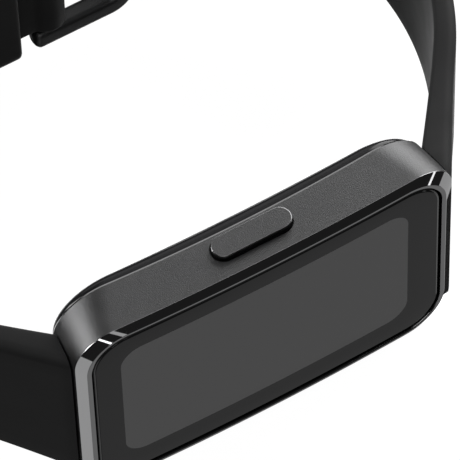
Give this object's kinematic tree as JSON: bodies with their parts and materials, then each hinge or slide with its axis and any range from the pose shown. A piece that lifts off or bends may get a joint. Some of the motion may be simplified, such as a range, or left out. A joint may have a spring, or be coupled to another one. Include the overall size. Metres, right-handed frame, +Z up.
{
  "type": "fitness tracker band",
  "caption": "Slim fitness tracker in a rounded metal case with a side key, on a two-part silicone strap with a tang buckle, keepers and latch-on links.",
  "frame": {"origin": "the middle of the case's flat lower long wall, on which the band lies", "axes": "+X along the case towards the tail strap, -Y out of the display, +Y towards the wrist, +Z up, the side with the key"},
  "size_m": [0.0737, 0.0725, 0.0293],
  "materials": {
    "case_metal": "bead-blasted dark grey anodised, with a polished band round the front",
    "display_glass": "polished dark cover glass",
    "gloss_back": "polished near-black moulded plastic",
    "silicone": "near-black satin silicone",
    "dark_plastic": "satin moulded plastic",
    "seal_rubber": "matte black rubber",
    "steel": "brushed stainless steel",
    "contact_gold": "gold-plated contact",
    "circuit_board": "solder-masked glass-fibre board",
    "chip_resin": "matt moulding resin",
    "battery_foil": "soft pouch-cell foil",
    "flex_film": "amber polyimide film"
  },
  "bodies": {
    "case": {"case_frame": "case_metal", "cover_glass": "display_glass", "display_panel": "display_glass", "sensor_window": "display_glass", "back_cover": "gloss_back", "glass_gasket": "seal_rubber", "back_gasket": "seal_rubber", "key_seal": "seal_rubber", "inner_chassis": "dark_plastic", "board_connector": "dark_plastic", "strap_link_12": "dark_plastic", "strap_link_6": "dark_plastic", "key_switch": "steel", "switch_bracket": "steel", "board_shield": "steel", "vibration_motor": "steel", "latch_spring_12": "steel", "latch_spring_6": "steel", "charge_contact_1": "contact_gold", "charge_contact_2": "contact_gold", "main_board": "circuit_board", "sensor_board": "circuit_board", "battery_tab": "circuit_board", "processor_chip": "chip_resin", "memory_chip": "chip_resin", "led_cluster": "chip_resin", "photodiode_1": "chip_resin", "photodiode_2": "chip_resin", "battery": "battery_foil", "display_flex": "flex_film", "antenna_strip": "flex_film", "board_screw_1": "steel", "board_screw_2": "steel", "board_screw_3": "steel", "board_screw_4": "steel"},
    "key": {"side_key": "case_metal", "key_clip": "steel"},
    "latch_12": {"latch_button_12": "steel"},
    "latch_6": {"latch_button_6": "steel"},
    "buckle_band": {"buckle_strap": "silicone", "keeper_fixed": "silicone"},
    "tail_band": {"tail_strap": "silicone"},
    "buckle": {"buckle_frame": "case_metal", "buckle_pin": "steel"},
    "tongue": {"buckle_tongue": "case_metal"},
    "keeper": {"keeper_free": "silicone"}
  },
  "joints": [
    {"name": "key_press", "type": "slide", "parent": "case", "child": "key", "axis": [0, 0, -1], "range_m": [0, 0.00035], "stiffness_N_per_m": 3000},
    {"name": "latch_press_12", "type": "slide", "parent": "case", "child": "latch_12", "axis": [-0.7431, -0.6691, 0], "range_m": [0, 0.0004], "stiffness_N_per_m": 1500},
    {"name": "latch_press_6", "type": "slide", "parent": "case", "child": "latch_6", "axis": [0.8211, -0.5707, 0], "range_m": [0, 0.0004], "stiffness_N_per_m": 1500},
    {"name": "buckle_band_flex", "type": "hinge", "parent": "case", "child": "buckle_band", "pos_m": [-0.02582, 0.00627, 0.0144], "axis": [0, 0, 1], "range_deg": [-12, 20], "stiffness_Nm_per_rad": 0.012},
    {"name": "tail_band_flex", "type": "hinge", "parent": "case", "child": "tail_band", "pos_m": [0.02508, 0.00686, 0.0144], "axis": [0, 0, 1], "range_deg": [-35, 0], "stiffness_Nm_per_rad": 0.012},
    {"name": "buckle_pivot", "type": "hinge", "parent": "buckle_band", "child": "buckle", "pos_m": [0.00214, 0.04773, 0.0144], "axis": [0, 0, 1], "range_deg": [-25, 20]},
    {"name": "tongue_pivot", "type": "hinge", "parent": "buckle", "child": "tongue", "pos_m": [0.00214, 0.04773, 0.0144], "axis": [0, 0, 1], "range_deg": [0, 60]},
    {"name": "keeper_slide", "type": "slide", "parent": "buckle_band", "child": "keeper", "axis": [1, 0, 0], "range_m": [-0.003, 0.0008]}
  ]
}
